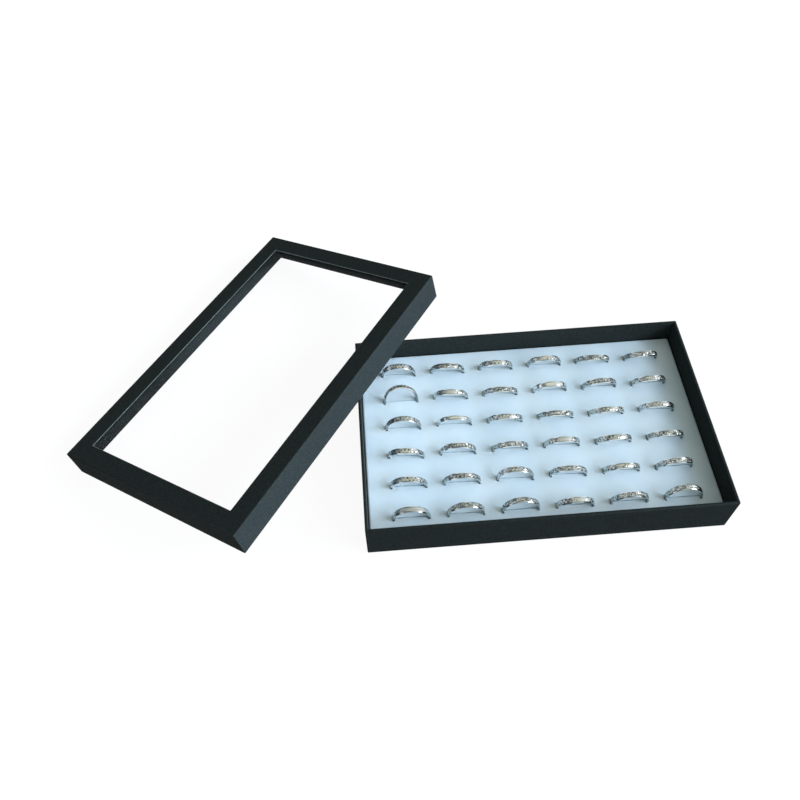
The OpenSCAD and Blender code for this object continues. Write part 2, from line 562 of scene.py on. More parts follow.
def dress(**finishes: Finish) -> None:
    """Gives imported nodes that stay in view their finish.

    Args:
        finishes: the finish of each node, by its name.
    """
    for node, finish in finishes.items():
        for slot in frame["nodes"][node].material_slots:
            slot.material = finish.material()


# ---- box halves

# How far the window's film reaches past the window's edge
FILM_LAP = 7.5


@dataclass
class Covering:
    """The embossed paper round one half of the box, as one folded sheet.

    Attributes:
        place: where the half is. Its own Z points out of the base or the window.
        length: outside length.
        width: outside width.
        height: outside height.
        inner_painted_light: how much lighter the paper on the inner walls is painted, from 0 to 1,
            as painted light; under the outside's value it stays darker, as painted shade.
        outer_wear: how worn the paper on the outside is.
        fold_highlight: how much lighter it is painted over a fold, as wear and a painted highlight.
        edge_round: the radius of the paper over an edge of the board.
        highlight_width: the width beside a fold that is painted lighter with it, which widens the
            painted highlight.
        seam: how far from each corner the paper of the short walls ends.
        seam_step: how far the paper under it lies back.
    """

    place: Place
    length: float
    width: float
    height: float
    # Painted light on the inner walls; at 0 they are painted darker than the outside, as painted
    # shade
    inner_painted_light: float
    outer_wear: float = 0.06
    # Painted highlight over folds, with some wear
    fold_highlight: float = 0.08
    edge_round: float = 0.55
    # Width of the painted highlight beside a fold
    highlight_width: float = 0.5
    seam: float = 0.9
    seam_step: float = 0.06

    def block(self) -> BMesh:
        """Makes a plain block of the half's outside size.

        Returns:
            The block, standing on its own ground.
        """
        bm = bmesh.new()
        bmesh.ops.create_cube(bm, size=1.0)
        bmesh.ops.scale(bm, vec=(self.length, self.width, self.height), verts=bm.verts)
        bmesh.ops.translate(bm, vec=(0, 0, self.height / 2), verts=bm.verts)
        return bm

    def turn_in(self, bm: BMesh, face: BMFace, border: float, depth: float) -> None:
        """Opens a face, and turns the paper back into the opening.

        Args:
            bm: the covering.
            face: the face to open.
            border: the width of the paper that stays round the opening.
            depth: how far it turns in. At 0 it ends at the border.
        """
        inwards = -face.normal.copy()
        bmesh.ops.inset_region(bm, faces=[face], thickness=border, use_even_offset=True)
        if depth > 0:
            made = bmesh.ops.extrude_face_region(bm, geom=[face])["geom"]
            corners = [g for g in made if isinstance(g, BMVert)]
            bmesh.ops.translate(bm, vec=inwards * depth, verts=corners)
            cap = next(g for g in made if isinstance(g, BMFace))
            if face.is_valid:
                bmesh.ops.delete(bm, geom=[face], context="FACES_ONLY")
            face = cap
        bmesh.ops.delete(bm, geom=[face], context="FACES_ONLY")

    def round_edges(self, bm: BMesh) -> None:
        """Rounds every fold, as paper over board is round, and marks the wear and painted light.

        Args:
            bm: the covering, with square folds.
        """
        painted_light_and_wear = bm.faces.layers.float.new("painted_light_and_wear")
        # Inner walls are painted apart from the outside: lighter in the tray as painted light,
        # darker in the lid as painted shade
        for f in bm.faces:
            f[painted_light_and_wear] = self.inner_painted_light if self.is_inside(f) else self.outer_wear
        least_bend = math.radians(30)
        folds = [e for e in bm.edges if e.is_manifold and e.calc_face_angle(0) > least_bend]
        rounded = bmesh.ops.bevel(
            bm, geom=folds, offset=self.edge_round, offset_type="OFFSET", affect="EDGES",
            segments=4, profile=0.5, material=-1, clamp_overlap=True,
        )["faces"]
        # The rounded folds are painted lighter: wear and a painted highlight
        for f in rounded:
            f[painted_light_and_wear] = self.fold_highlight
        # Strips beside the folds are painted lighter too, widening the painted highlight
        narrow = 3 * self.highlight_width
        broad = [f for f in bm.faces if min(e.calc_length() for e in f.edges) > narrow]
        strips = bmesh.ops.inset_individual(
            bm, faces=broad, thickness=self.highlight_width, use_even_offset=True
        )["faces"]
        beside = [max(other[painted_light_and_wear] for e in f.edges for other in e.link_faces) for f in strips]
        for f, most in zip(strips, beside):
            if most > self.outer_wear:
                f[painted_light_and_wear] = (most + 2 * f[painted_light_and_wear]) / 3

    def is_inside(self, face: BMFace) -> bool:
        """Whether a face, before the folds are rounded, is one of the inner walls."""
        return self.gap(face) > WALL / 2 and abs(face.normal.z) < 0.5

    def gap(self, face: BMFace) -> float:
        """How far a face's middle lies from the outside of the nearest wall."""
        at = face.calc_center_median()
        return min(self.length / 2 - abs(at.x), self.width / 2 - abs(at.y))

    def lay_seams(self, bm: BMesh) -> None:
        """Lets the paper of each short wall end just before the corner.

        Args:
            bm: the covering.
        """
        edge = self.width / 2 - self.seam
        for side in (-1, 1):
            for at in (edge, edge + self.seam_step / 2):
                cut_along(bm, (0, side * at, 0), (0, 1, 0))
        near_corner = edge + self.seam_step / 4
        near_end = self.length / 2 - self.edge_round - self.seam_step
        for v in bm.verts:
            if abs(v.co.y) > near_corner and abs(v.co.x) > near_end:
                v.co.x -= math.copysign(self.seam_step, v.co.x)

    def finish(self, bm: BMesh, name: str, node: str, body: str) -> None:
        """Makes the covering a piece with the paper's thickness.

        Args:
            bm: the sheet's outer side.
            name: the piece's name.
            node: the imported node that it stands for.
            body: the body that it rides on.
        """
        piece = finished_piece(name, bm, self.place, LEATHERETTE.material(), 35)
        sheet = piece.modifiers.new("paper", "SOLIDIFY")
        sheet.thickness = PAPER * MM
        sheet.offset = -1.0
        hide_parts(node)
        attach(piece, body)


@dataclass
class Tray:
    """The lower half of the box.

    Attributes:
        turn_in: how far the covering turns down inside.
        turn_under: how far it turns in under the base.
        inner_painted_light: how much lighter the inner walls are painted, as painted light from the
            lamps and the pad.
    """

    turn_in: float = 20.0
    turn_under: float = 15.0
    # Painted light on the inner walls
    inner_painted_light: float = 0.13

    def build(self) -> None:
        """Builds the covering and gives the tray's other nodes their finish."""
        low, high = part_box("tray_wrap")
        size = (high - low) / MM
        ground = Place(Vector((0, 0, low.z / MM)), UPRIGHT.along, UPRIGHT.across, UPRIGHT.up)
        cover = Covering(ground, size.x, size.y, size.z, self.inner_painted_light)
        bm = cover.block()
        cover.turn_in(bm, face_towards(bm, (0, 0, 1)), WALL, self.turn_in)
        cover.turn_in(bm, face_towards(bm, (0, 0, -1)), self.turn_under, 0)
        cover.round_edges(bm)
        cover.lay_seams(bm)
        dress(
            tray_board=GREYBOARD, tray_corner_tapes=GUMMED_TAPE, tray_floor_lining=LINING,
            tray_bottom_sheet=LINING, pad_backing_card=BACKING_CARD,
        )
        cover.finish(bm, "tray_covering", "tray_wrap", "tray")


@dataclass
class Lid:
    """The upper half of the box, with its window.

    Attributes:
        turn_in: how far the covering turns up inside the walls.
        window_turn: how far it turns back under the window's edge.
        inner_painted_light: how much lighter the inner walls are painted; at 0 they stay darker
            than the outside, as painted shade.
        window_highlight: how much lighter the fold round the window is painted, as a painted
            highlight.
    """

    turn_in: float = 14.0
    window_turn: float = 8.0
    # No painted light on the inner walls: they stay darker than the outside, as painted shade
    inner_painted_light: float = 0.0
    # Painted highlight on the window's fold
    window_highlight: float = 1.0

    def place(self) -> tuple[Place, Vector]:
        """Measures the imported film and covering.

        Returns:
            The lid's own axes, with their origin in the middle of its open side, and its
            outside size.
        """
        long, wide, thin = main_axes(node_points("window_film"))
        long *= math.copysign(1, long.x)
        thin *= math.copysign(1, thin.z)
        wide = thin.cross(long)
        turned = Matrix((long, wide, thin))
        inside = node_points("lid_wrap") @ np.array(turned).T
        low, high = Vector(inside.min(0)), Vector(inside.max(0))
        middle = (low + high) / 2
        foot = Vector((middle.x, middle.y, low.z))
        return Place(turned.transposed() @ foot, long, wide, thin), high - low

    def build(self) -> None:
        """Builds the covering and gives the lid's other nodes their finish."""
        place, size = self.place()
        cover = Covering(place, size.x, size.y, size.z, self.inner_painted_light)
        bm = cover.block()
        cover.turn_in(bm, face_towards(bm, (0, 0, -1)), WALL, self.turn_in)
        film = node_points("window_film") @ np.array(place.along)
        border = (size.x - (film.max() - film.min())) / 2 + FILM_LAP
        reveal = 2 * PAPER + BOARD
        cover.turn_in(bm, face_towards(bm, (0, 0, 1)), border, reveal)
        self.turn_back(bm, size.z - reveal)
        cover.round_edges(bm)
        self.paint_window_highlight(bm, cover, border)
        cover.lay_seams(bm)
        dress(
            lid_board=GREYBOARD, lid_corner_tapes=GUMMED_TAPE, lid_lining=LINING,
            window_tape=TAPE, window_film=FILM,
        )
        cover.finish(bm, "lid_covering", "lid_wrap", "lid")

    def turn_back(self, bm: BMesh, level: float) -> None:
        """Folds the paper back under the board, all round the window.

        Args:
            bm: the covering.
            level: the height of the board's underside round the window.
        """
        ends = [e for e in bm.edges if e.is_boundary]
        rim = [e for e in ends if all(abs(v.co.z - level) < 0.01 for v in e.verts)]
        for made in bmesh.ops.extrude_edge_only(bm, edges=rim)["geom"]:
            if isinstance(made, BMVert):
                made.co.x += math.copysign(self.window_turn, made.co.x)
                made.co.y += math.copysign(self.window_turn, made.co.y)

    def paint_window_highlight(self, bm: BMesh, cover: Covering, border: float) -> None:
        """Paints the upper fold round the window lighter, as a painted highlight.

        Args:
            bm: the covering's shape, with its folds rounded.
            cover: the covering.
            border: the width of the frame round the window.
        """
        painted_light_and_wear = bm.faces.layers.float["painted_light_and_wear"]
        near = 0.3
        for f in bm.faces:
            down = cover.height - f.calc_center_median().z
            if abs(cover.gap(f) - border) < near and down < near and len(f.verts) == 4:
                # Painted highlight on the window's fold
                f[painted_light_and_wear] = max(f[painted_light_and_wear], self.window_highlight)


# ---- rings


class Cut(Enum):
    """What is cut into a ring's outer side. Each value is its letter in the chart."""

    PLAIN = "p"  # nothing, a polished dome
    SATIN = "s"  # groups of cuts in a satined ground
    BARS = "b"  # upright bars
    LENS = "l"  # two staggered rows of cuts
    ZIGZAG = "z"  # a zigzag groove
    DASHES = "d"  # two rows of dashes
    BEADS = "o"  # a row of beads
    LATTICE = "x"  # a diamond lattice


# One letter for each ring's cut, a word for each row from the back
CUT_CHART = ("lxllxx", "bsxpxl", "zplxll", "lzxslx", "lxlxlx", "odxlxx")

# How many cuts lie side by side across the band, where that isn't two
ROWS_OF_CUTS = {Cut.PLAIN: 4, Cut.BARS: 1, Cut.BEADS: 3, Cut.LATTICE: 3}

# A band's inner side and flank, from inside to outside: how far up the flank each corner
# of the outline lies, and how far out from the middle of the band, as shares
FLANK = ((0.00, 0.30), (0.10, 0.62), (0.30, 0.84), (0.52, 0.96), (0.64, 1.00), (0.80, 1.00))


@dataclass
class FingerRing:
    """A finger ring that stands in the pad.

    Attributes:
        row: its row, 1 at the back.
        column: its column, 1 at the left.
        segments: how many facets it has round it.
        curve: the radius of the dome across the band.
        chamfer: how far the edge between flank and dome is taken off.
        shoulder: the width of the bright edge beside the pattern.
        line: how deep the line between the two is, and half its width. It is painted dark, as
            painted shade.
        depth: the depth of a cut.
        ledge: how far a pocket or a bead stays from the edge of its face.
        bead: how far a bead stands up.
        swing: how far a zigzag groove swings from the middle.
        groove_and_leg_shade: how dark the line and the flanks of the legs are painted, as painted
            shade.
    """

    row: int
    column: int
    segments: int = 60
    curve: float = 5.0
    chamfer: float = 0.08
    shoulder: float = 0.6
    line: float = 0.12
    depth: float = 0.2
    ledge: float = 0.12
    bead: float = 0.16
    swing: float = 0.7
    # Painted shade of the line and the legs
    groove_and_leg_shade: float = 0.85
    place: Place = field(init=False)
    outer: float = field(init=False)
    inner: float = field(init=False)
    width: float = field(init=False)

    def __post_init__(self) -> None:
        """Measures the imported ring: its middle, its axis and its sizes."""
        points = node_points(self.node)
        axis = main_axes(points)[2]
        axis *= math.copysign(1, axis.y)
        pull = next(j for j in frame["joints"] if j["child"] == self.node)
        up = Vector(pull["axis"])
        up = (up - axis * up.dot(axis)).normalized()
        middle = (points.min(0) + points.max(0)) / 2
        self.place = Place(Vector(middle), axis.cross(up), axis, up)
        from_middle = points - middle
        along = from_middle @ np.array(axis)
        away = np.linalg.norm(from_middle - np.outer(along, axis), axis=1)
        self.outer = float(away.max())
        self.inner = float(away.min())
        self.width = float(along.max() - along.min())

    @property
    def node(self) -> str:
        """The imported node's name."""
        return f"ring_r{self.row}_c{self.column}"

    @property
    def cut(self) -> Cut:
        """What is cut into it."""
        return Cut(CUT_CHART[self.row - 1][self.column - 1])

    @property
    def zone(self) -> float:
        """Half the width of the pattern."""
        return self.width / 2 - self.shoulder

    @property
    def columns(self) -> int:
        """How many faces the pattern has across the band."""
        return ROWS_OF_CUTS.get(self.cut, 2)

    def dome(self, across: float) -> float:
        """The radius of the outer side, that far from the middle of the band."""
        return self.outer - self.curve + math.sqrt(self.curve**2 - across**2)

    def profile(self) -> list[tuple[float, float]]:
        """Draws half of the band's outline, from inside to outside.

        Returns:
            The radius and the place across of each corner, up to the middle of the band.
        """
        edge, zone = self.width / 2, self.zone
        flank = self.dome(edge) - self.inner
        outline = [(self.inner + high * flank, wide * edge) for high, wide in FLANK]
        outline += [
            (self.dome(edge) - self.chamfer, edge - 0.75 * self.chamfer),
            (self.dome(zone + 0.14), zone + 0.14),
            (self.dome(zone) - self.line, zone + 0.05),
            (self.dome(zone - 0.05), zone - 0.05),
        ]
        steps = [zone * (1 - 2 * i / self.columns) for i in range(1, self.columns // 2 + 1)]
        return outline + [(self.dome(s), s) for s in steps]

    def blank(self) -> BMesh:
        """Turns the plain band.

        Returns:
            The band, with its axis along its own Y.
        """
        half = self.profile()
        other = [(r, -a) for r, a in reversed(half) if a > 1e-6]
        bm = bmesh.new()
        outline = [bm.verts.new((r, a, 0)) for r, a in half + other]
        edges = [bm.edges.new((outline[i - 1], outline[i])) for i in range(len(outline))]
        bmesh.ops.spin(
            bm, geom=[*outline, *edges], cent=(0, 0, 0), axis=(0, 1, 0), angle=math.tau,
            steps=self.segments, use_merge=True, dvec=(0, 0, 0),
        )
        bmesh.ops.remove_doubles(bm, verts=bm.verts, dist=0.001)
        bmesh.ops.recalc_face_normals(bm, faces=bm.faces)
        # The spin's faces come in another order each run, and the random draws follow it
        bm.faces.sort(key=self.order_of)
        return bm

    def order_of(self, face: BMFace) -> float:
        """Orders faces by their segment, then from one edge of the band to the other."""
        at = face.calc_center_median()
        return 1000 * int(self.turn_of(at)) + 10 * at.y + 0.01 * math.hypot(at.x, at.z)

    def outer_faces(self, bm: BMesh) -> list[BMFace]:
        """The faces whose corners all lie in the outer half of the metal."""
        middle = (self.outer + self.inner) / 2
        return [f for f in bm.faces if all(math.hypot(v.co.x, v.co.z) > middle for v in f.verts)]

    def turn_of(self, at: Vector) -> float:
        """How many segments round the ring a point is."""
        return math.atan2(at.z, at.x) % math.tau / math.tau * self.segments

    def engrave(self, bm: BMesh) -> None:
        """Cuts the pattern and marks its painted shade and its satined faces.

        Args:
            bm: the plain band.
        """
        painted_shade = bm.faces.layers.float.new("painted_shade")
        satin = bm.faces.layers.float.new("satin")
        ground: list[BMFace] = []
        for f in self.outer_faces(bm):
            across = abs(f.calc_center_median().y)
            if abs(across - self.zone) < self.line:
                # The line between shoulder and pattern is painted dark, as painted shade
                f[painted_shade] = self.groove_and_leg_shade
            elif across < self.zone:
                ground.append(f)
        if self.cut is Cut.PLAIN:
            return
        for f in ground:
            f[satin] = 1.0 if self.cut is Cut.SATIN else 0.6
            # The ground is painted a little darker, as painted shade
            f[painted_shade] = 0.2
        cuts = [f for f in ground if self.is_cut(f)]
        chance = random.Random(100 * self.row + self.column)
        if self.cut is Cut.ZIGZAG:
            self.wave(ground)
        if self.cut in (Cut.BARS, Cut.DASHES, Cut.BEADS):
            self.sink(bm, cuts, chance)
        else:
            self.poke(bm, cuts, chance)

    def poke(self, bm: BMesh, cuts: list[BMFace], chance: random.Random) -> None:
        """Sinks each cut to a point, and paints each of its facets brighter or darker, as painted
        glints and shade.

        Args:
            bm: the band.
            cuts: the faces to cut.
            chance: what draws the depths and shades.
        """
        painted_shade = bm.faces.layers.float["painted_shade"]
        satin = bm.faces.layers.float["satin"]
        for f in cuts:
            shade = chance.uniform(0.1, 0.95)
            sunk = self.depth * chance.uniform(0.3, 1)
            for facet in bmesh.ops.poke(bm, faces=[f], offset=-sunk)["faces"]:
                # Each facet's painted shade, as painted glints and shade
                facet[painted_shade] = min(1.0, max(0.0, shade + chance.uniform(-0.35, 0.35)))
                facet[satin] = 0.2

    def sink(self, bm: BMesh, cuts: list[BMFace], chance: random.Random) -> None:
        """Sinks each cut as a flat pocket, or raises it as a bead.

        Args:
            bm: the band.
            cuts: the faces to cut.
            chance: what draws the shades.
        """
        painted_shade = bm.faces.layers.float["painted_shade"]
        raised = self.cut is Cut.BEADS
        rise = self.bead if raised else -self.depth
        bmesh.ops.inset_individual(
            bm, faces=cuts, thickness=self.ledge, depth=rise, use_even_offset=True
        )
        for f in cuts:
            # Pockets are painted dark, as painted shade; beads get no painted shade
            f[painted_shade] = 0.0 if raised else chance.uniform(0.6, 1.0)

    def is_cut(self, face: BMFace) -> bool:
        """Whether the tool cuts a face.

        Args:
            face: a face of the pattern's ground.

        Returns:
            True for a face to cut.
        """
        at = face.calc_center_median()
        step = int(self.turn_of(at))
        row = int((at.y + self.zone) / (2 * self.zone) * self.columns)
        rules = {
            Cut.BARS: step % 2 == 0,
            Cut.DASHES: (step + 2 * row) % 4 < 3,
            Cut.BEADS: row == 1,
            Cut.LENS: (step + row) % 2 == 0,
            Cut.SATIN: step % 12 >= 6,
        }
        return rules.get(self.cut, True)

    def wave(self, faces: list[BMFace]) -> None:
        """Bends the middle line of the band to and fro and sinks it to a groove.

        Args:
            faces: the pattern's ground.
        """
        for v in {v for f in faces for v in f.verts if abs(v.co.y) < 0.01}:
            v.co.y = self.swing if round(self.turn_of(v.co)) % 2 else -self.swing
            v.co -= Vector((v.co.x, 0, v.co.z)).normalized() * self.depth

    def shade_legs(self, bm: BMesh) -> None:
        """Paints the flanks of the legs darker towards the pad, as painted shade.

        Args:
            bm: the cut band.
        """
        painted_shade = bm.faces.layers.float["painted_shade"]
        for f in bm.faces:
            height = f.calc_center_median().z / self.outer
            if abs(f.normal.y) > 0.5:
                # Painted shade, darker towards the feet
                f[painted_shade] = max(f[painted_shade], self.groove_and_leg_shade * float(smooth_step(0.75, 0.3, height)))

    def build(self) -> None:
        """Builds the ring and puts it in the place of its node."""
        bm = self.blank()
        self.engrave(bm)
        self.shade_legs(bm)
        name = self.node.replace("ring", "finger_ring")
        piece = finished_piece(name, bm, self.place, STEEL.material(), 18)
        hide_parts(self.node)
        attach(piece, self.node)


# ---- pad


@dataclass(frozen=True)
class Slit:
    """The slit that a ring stands in, in the plane of the pad's face.

    Attributes:
        middle: its middle.
        along: its direction.
        outer: half its length, to the outside of the ring's feet.
        inner: half the gap between the feet.
        half_band: half the width of the band, as the face cuts it.
    """

    middle: Vector
    along: Vector
    outer: float
    inner: float
    half_band: float

    def distances(self, points: np.ndarray) -> tuple[np.ndarray, np.ndarray]:
        """Measures how far points lie from the slit's middle.

        Args:
            points: places on the face, one row each.

        Returns:
            Their distances along the slit and across it.
        """
        away = points - np.array(self.middle)
        across = Vector((-self.along.y, self.along.x, 0))
        return np.abs(away @ np.array(self.along)), np.abs(away @ np.array(across))


@dataclass
class Pad:
    """The flocked foam pad, with a slit that closes round each ring.

    Attributes:
        rings: the rings that stand in it.
        edge_round: the radius of its upper edge.
        corner_round: the radius of its upright corners.
        cell: the spacing of its mesh, away from the slits.
        fine_reach: how far from a slit the mesh is halved at first. It halves each time.
        fine_rim: the width of the rim where it is halved too.
        slit_levels: how many times the mesh is halved near a slit.
        rim_levels: how many times it is halved at the rim.
        mouth: half the gap between the slit's lips, between a ring's feet.
        lip: the width over which a lip bends down into the slit.
        hug: how far the foam presses on a foot from each side.
        slit_depth: how deep the slit is modelled.
        press: how far the metal presses the foam down beside a foot.
        press_reach: how far from a foot that fades away.
        swell: how far the foam rises between the feet.
        swell_reach: how far from the slit that fades away.
    """

    rings: list[FingerRing]
    edge_round: float = 1.2
    corner_round: float = 1.2
    cell: float = 1.5
    fine_reach: float = 3.2
    fine_rim: float = 2.0
    slit_levels: int = 3
    rim_levels: int = 2
    mouth: float = 0.025
    lip: float = 0.25
    hug: float = 0.15
    slit_depth: float = 2.0
    press: float = 0.12
    press_reach: float = 1.8
    swell: float = 0.2
    swell_reach: float = 3.0
    low: Vector = field(init=False)
    high: Vector = field(init=False)
    slits: list[Slit] = field(init=False)

    def __post_init__(self) -> None:
        """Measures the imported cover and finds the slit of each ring."""
        self.low, self.high = (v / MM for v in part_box("pad_cover"))
        self.slits = []
        for ring in self.rings:
            up = ring.place.up
            rise = (self.high.z - ring.place.origin.z) / up.z
            outer = math.sqrt(ring.outer**2 - rise**2)
            inner = math.sqrt(ring.inner**2 - rise**2)
            middle = ring.place.origin + up * rise
            half_band = ring.width / 2 / up.z
            self.slits.append(Slit(middle, ring.place.along, outer, inner, half_band))

    def grid(self) -> BMesh:
        """Lays the pad's flat face: even cells, with a line of them along each slit.

        Returns:
            The face, cut to the cover's outline.
        """
        first, last = self.slits[0].middle, self.slits[-1].middle
        pitch = ((last.x - first.x) / (COLUMNS - 1), (first.y - last.y) / (ROWS - 1))
        cells = [2 * round(p / self.cell / 2) for p in pitch]
        # Two pitches more on each side than there are rings reach past the cover's edge
        across, deep = (COLUMNS + 4) * cells[0], (ROWS + 4) * cells[1]
        size = (across * pitch[0] / cells[0], deep * pitch[1] / cells[1], 1)
        bm = bmesh.new()
        bmesh.ops.create_grid(bm, x_segments=across, y_segments=deep, size=0.5)
        bmesh.ops.scale(bm, vec=size, verts=bm.verts)
        middle = (first + last) / 2
        bmesh.ops.translate(bm, vec=(middle.x, middle.y, self.high.z), verts=bm.verts)
        cut_along(bm, (self.low.x, 0, 0), (-1, 0, 0), clear=True)
        cut_along(bm, (self.high.x, 0, 0), (1, 0, 0), clear=True)
        cut_along(bm, (0, self.low.y, 0), (0, -1, 0), clear=True)
        cut_along(bm, (0, self.high.y, 0), (0, 1, 0), clear=True)
        return bm

    def refine(self, bm: BMesh) -> None:
        """Halves the mesh again and again, nearer and nearer to slits and edges.

        Args:
            bm: the pad's flat face.
        """
        for level in range(self.slit_levels):
            centres = np.array([f.calc_center_median() for f in bm.faces])
            near = np.zeros(len(centres), bool)
            for slit in self.slits:
                u, v = slit.distances(centres)
                beyond = np.maximum(u - slit.outer, 0)
                beside = np.maximum(v - slit.half_band, 0)
                near |= np.hypot(beyond, beside) < self.fine_reach / 2**level
            if level < self.rim_levels:
                gaps = np.hstack((centres - np.array(self.low), np.array(self.high) - centres))
                near |= gaps[:, (0, 1, 3, 4)].min(1) < self.fine_rim
            chosen = (f for f, is_near in zip(bm.faces, near) if is_near)
            edges = dict.fromkeys(e for f in chosen for e in f.edges)
            bmesh.ops.subdivide_edges(bm, edges=list(edges), cuts=1, use_grid_fill=True)

    def relief(self, points: np.ndarray) -> np.ndarray:
        """How far the pad's face lies above its plane, at each point.

        Args:
            points: places on the face, one row each.

        Returns:
            The heights.
        """
        height = np.zeros(len(points))
        affected = 8.0
        for slit in self.slits:
            outer, inner, half_band = slit.outer, slit.inner, slit.half_band
            u, v = slit.distances(points)
            near = (u < outer + affected) & (v < half_band + affected)
            u, v = u[near], v[near]
            at_foot = smooth_step(inner, inner + 2 * self.hug, u)
            gap = self.mouth + at_foot * (half_band - self.hug - self.mouth)
            inside = 1 - smooth_step(0.0, self.lip, v - gap)
            inside *= 1 - smooth_step(outer - self.hug, outer + 0.1, u)
            foot = np.hypot(
                np.maximum(np.abs(u - (outer + inner) / 2) - (outer - inner) / 2, 0),
                np.maximum(v - half_band, 0),
            )
            pressed = -self.press * np.exp(-((foot / self.press_reach) ** 2))
            swollen = self.swell * np.exp(-((v / self.swell_reach) ** 2))
            swollen *= 1 - smooth_step(inner - 5, inner, u)
            height[near] += (pressed + swollen) * (1 - inside) - self.slit_depth * inside
        return height

    def shape(self, bm: BMesh) -> None:
        """Rounds the pad's edges and corners and presses the slits into it.

        Args:
            bm: the pad's face, with its mesh refined.
        """
        low, high = self.low, self.high
        height = self.relief(np.array([v.co for v in bm.verts]))
        for v, rise in zip(bm.verts, height):
            v.co.z += rise
            near = min(v.co.x - low.x, high.x - v.co.x, v.co.y - low.y, high.y - v.co.y)
            if near < self.edge_round:
                lack = self.edge_round - near
                v.co.z -= self.edge_round - math.sqrt(max(0, self.edge_round**2 - lack**2))
            self.round_corner(v)

    def round_corner(self, v: BMVert) -> None:
        """Draws a point in a square corner of the pad in to a round one.

        Args:
            v: any point of the face. One that is in no corner stays.
        """
        for side_x, x in ((-1, self.low.x), (1, self.high.x)):
            for side_y, y in ((-1, self.low.y), (1, self.high.y)):
                dx = side_x * (v.co.x - x) + self.corner_round
                dy = side_y * (v.co.y - y) + self.corner_round
                if dx > 0 and dy > 0:
                    pull = max(dx, dy) / math.hypot(dx, dy)
                    v.co.x += side_x * dx * (pull - 1)
                    v.co.y += side_y * dy * (pull - 1)

    def close(self, bm: BMesh) -> None:
        """Takes the sides down to the backing card and closes the underside.

        Args:
            bm: the pad's face.
        """
        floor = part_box("pad_backing_card")[1].z / MM
        rim = [e for e in bm.edges if e.is_boundary]
        for made in bmesh.ops.extrude_edge_only(bm, edges=rim)["geom"]:
            if isinstance(made, BMVert):
                made.co.z = floor
        hem = [e for e in bm.edges if e.is_boundary]
        bmesh.ops.holes_fill(bm, edges=hem, sides=0)
        bmesh.ops.recalc_face_normals(bm, faces=bm.faces)

    def build(self) -> None:
        """Builds the pad, which stands for the foam and its cover."""
        bm = self.grid()
        self.refine(bm)
        self.shape(bm)
        self.close(bm)
        piece = finished_piece("flocked_pad", bm, UPRIGHT, VELVET.material(), 60)
        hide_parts("pad_cover", "pad_foam")
        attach(piece, "tray")


# ---- studio


@dataclass(frozen=True)
class Viewpoint:
    """Where the camera stands and how it is held.

    Attributes:
        at: its place.
        heading: how far it is turned to the right of +Y.
        dip: how far it looks down.
        roll: how far it is turned about its own line of sight.
        focal_length: its focal length, for a sensor 36 mm wide.
    """

    at: Triple = (-87.2, -239.4, 404.0)
    heading: float = 2.6
    dip: float = 55.57
    roll: float = -1.99
    focal_length: float = 35.2

    def build(self) -> None:
        """Makes the camera and looks through it."""
        data = bpy.data.cameras.new("camera")
        data.lens = self.focal_length
        data.sensor_width = 36.0
        data.clip_start = 0.01
        data.clip_end = 20.0
        camera = bpy.data.objects.new("camera", data)
        camera.matrix_world = (
            Matrix.Translation(Vector(self.at) * MM)
            @ Matrix.Rotation(math.radians(-self.heading), 4, "Z")
            @ Matrix.Rotation(math.radians(90 - self.dip), 4, "X")
            @ Matrix.Rotation(math.radians(self.roll), 4, "Z")
        )
        bpy.context.scene.collection.objects.link(camera)
        bpy.context.scene.camera = camera


@dataclass(frozen=True)
class Lamp:
    """A far lamp, as wide as a window looks from the table.

    Attributes:
        name: its name.
        heading: how far it stands in front of +X.
        height: how far it stands above the floor.
        width: how wide it looks.
        power: what it gives a surface that faces it.
        colour: its colour, as sRGB hex.
        panes: how many panes stand side by side in it.
        spread: how far apart in heading the panes are.
    """

    name: str
    heading: float
    height: float
    width: float
    power: float
    colour: str
    panes: int = 1
    spread: float = 0.0

    def build(self) -> None:
        """Makes each pane and points it at the object. Metal mirrors the sky instead."""
        for pane in range(self.panes):
            name = f"{self.name}_{pane + 1}"
            lamp = bpy.data.lights.new(name, "SUN")
            lamp.energy = self.power / self.panes
            lamp.color = linear(self.colour)[:3]
            lamp.angle = math.radians(self.width)
            sun = bpy.data.objects.new(name, lamp)
            heading = self.heading + (pane - (self.panes - 1) / 2) * self.spread
            sun.rotation_euler = (math.radians(90 - self.height), 0.0, math.radians(90 - heading))
            sun.visible_glossy = False
            bpy.context.scene.collection.objects.link(sun)

    def towards(self) -> Vector:
        """Works out where the lamp stands, as seen from the object.

        Returns:
            The direction of its middle, one unit long.
        """
        ahead, rise = math.radians(-self.heading), math.radians(self.height)
        flat = math.cos(rise)
        return Vector((flat * math.cos(ahead), flat * math.sin(ahead), math.sin(rise)))


